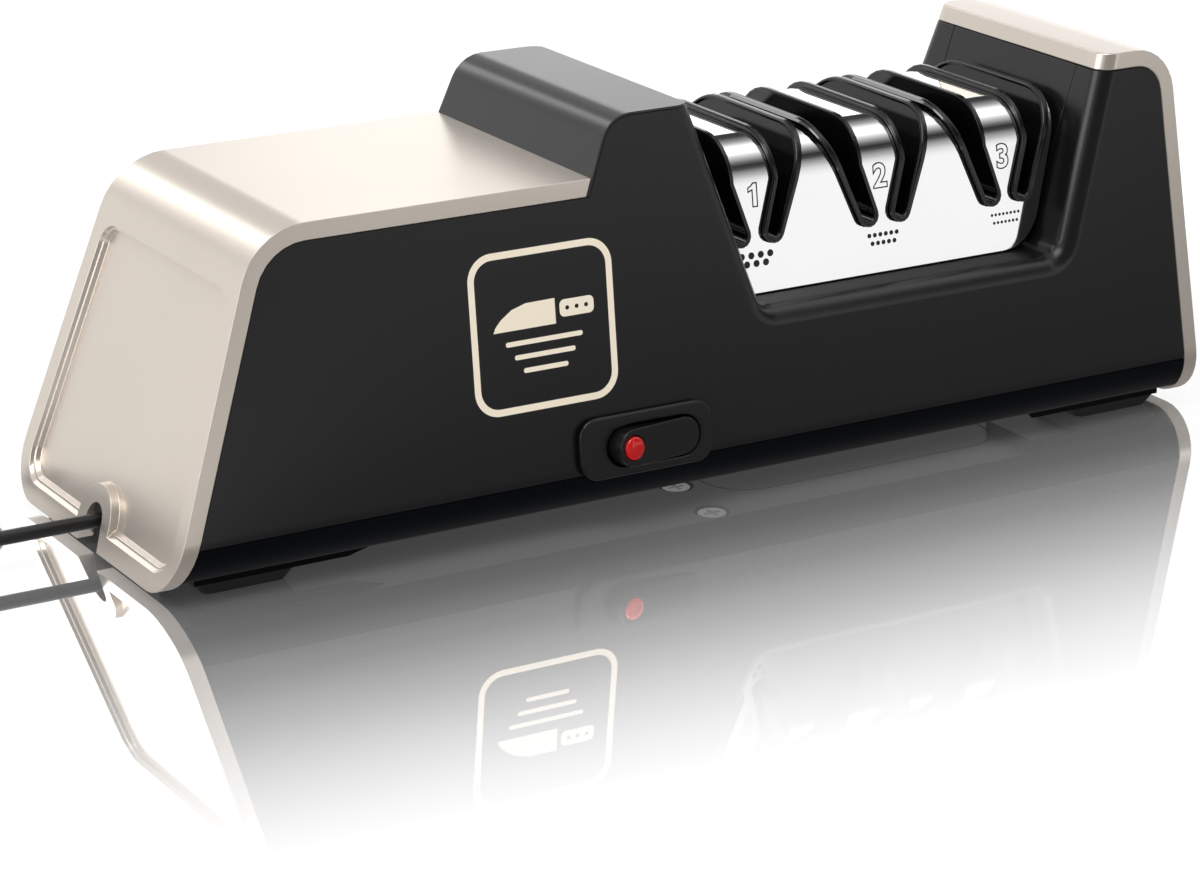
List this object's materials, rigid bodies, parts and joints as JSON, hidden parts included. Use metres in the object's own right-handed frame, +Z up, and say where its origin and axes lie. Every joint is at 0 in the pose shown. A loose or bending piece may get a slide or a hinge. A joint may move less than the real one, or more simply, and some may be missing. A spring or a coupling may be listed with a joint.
{
  "type": "electric knife sharpener",
  "caption": "Electric countertop knife sharpener: tapered housing, slotted bright module in a recess, driven grinding discs, rocker switch with red lens, coiled cord and plug.",
  "frame": {"origin": "on the worktop, under the centre of the housing with its switch (free cord left out)", "axes": "+X along the housing away from the cord, -Y towards the switch side, +Z up"},
  "size_m": [0.4146, 0.1108, 0.0994],
  "materials": {
    "champagne": "metallic satin paint on ABS",
    "black": "fine satin ABS",
    "black_gloss": "polished ABS",
    "tray": "moulded ABS, blue-black",
    "bright": "mirror-bright steel sheet",
    "rubber": "matte",
    "cord": "PVC, slightly glossy",
    "zinc": "zinc-plated steel",
    "steel": "turned steel",
    "abrasive": "bonded abrasive, sandy",
    "resin": "flexible resin polishing disc",
    "red_lens": "clear red polycarbonate",
    "board": "solder mask",
    "brass": "polished"
  },
  "bodies": {
    "housing": {"left_cover": "champagne", "right_cover": "champagne", "front_panel": "black", "rear_panel": "black", "hump_cover": "black", "recess_wall": "black_gloss", "base_tray": "tray", "foot_front_left": "rubber", "foot_rear_left": "rubber", "foot_front_right": "rubber", "foot_rear_right": "rubber", "base_screw_1": "zinc", "base_screw_2": "zinc", "base_screw_3": "zinc", "base_screw_4": "zinc", "base_screw_5": "zinc", "base_screw_6": "zinc", "bright_cover": "bright", "slot_carrier": "black_gloss", "slot_guide_1_left": "black_gloss", "slot_guide_1_right": "black_gloss", "slot_guide_2_left": "black_gloss", "slot_guide_2_right": "black_gloss", "slot_guide_3_left": "black_gloss", "slot_guide_3_right": "black_gloss", "left_bearing": "steel", "right_bearing": "steel", "left_bearing_block": "zinc", "right_bearing_block": "zinc", "motor_can": "steel", "motor_bracket": "zinc", "motor_saddle": "black", "switch_bezel": "black", "switch_body": "black", "circuit_board": "board", "capacitor": "tray", "strain_relief": "rubber", "cord_lead": "cord", "cord_coil": "cord", "cord_tail": "cord", "plug_body": "cord", "plug_blade_1": "brass", "plug_blade_2": "brass"},
    "spindle": {"drive_shaft": "steel", "shaft_coupling": "rubber", "rotor_shaft": "steel", "cooling_fan": "black", "coarse_disc_left": "abrasive", "coarse_disc_right": "abrasive", "fine_disc_left": "abrasive", "fine_disc_right": "abrasive", "polish_disc_left": "resin", "polish_disc_right": "resin"},
    "rocker": {"rocker": "black", "indicator_lens": "red_lens"},
    "clean_out": {"clean_out_cover": "tray"}
  },
  "joints": [
    {"name": "spindle_spin", "type": "hinge", "parent": "housing", "child": "spindle", "pos_m": [0, 0.00301, 0.046], "axis": [1, 0, 0], "continuous": true},
    {"name": "rocker_tilt", "type": "hinge", "parent": "housing", "child": "rocker", "pos_m": [-0.02085, -0.04388, 0.02009], "axis": [0, -0.1191, -0.9929], "range_deg": [0, 19]},
    {"name": "clean_out_pull", "type": "slide", "parent": "housing", "child": "clean_out", "axis": [0, 0, -1], "range_m": [0, 0.03]}
  ]
}
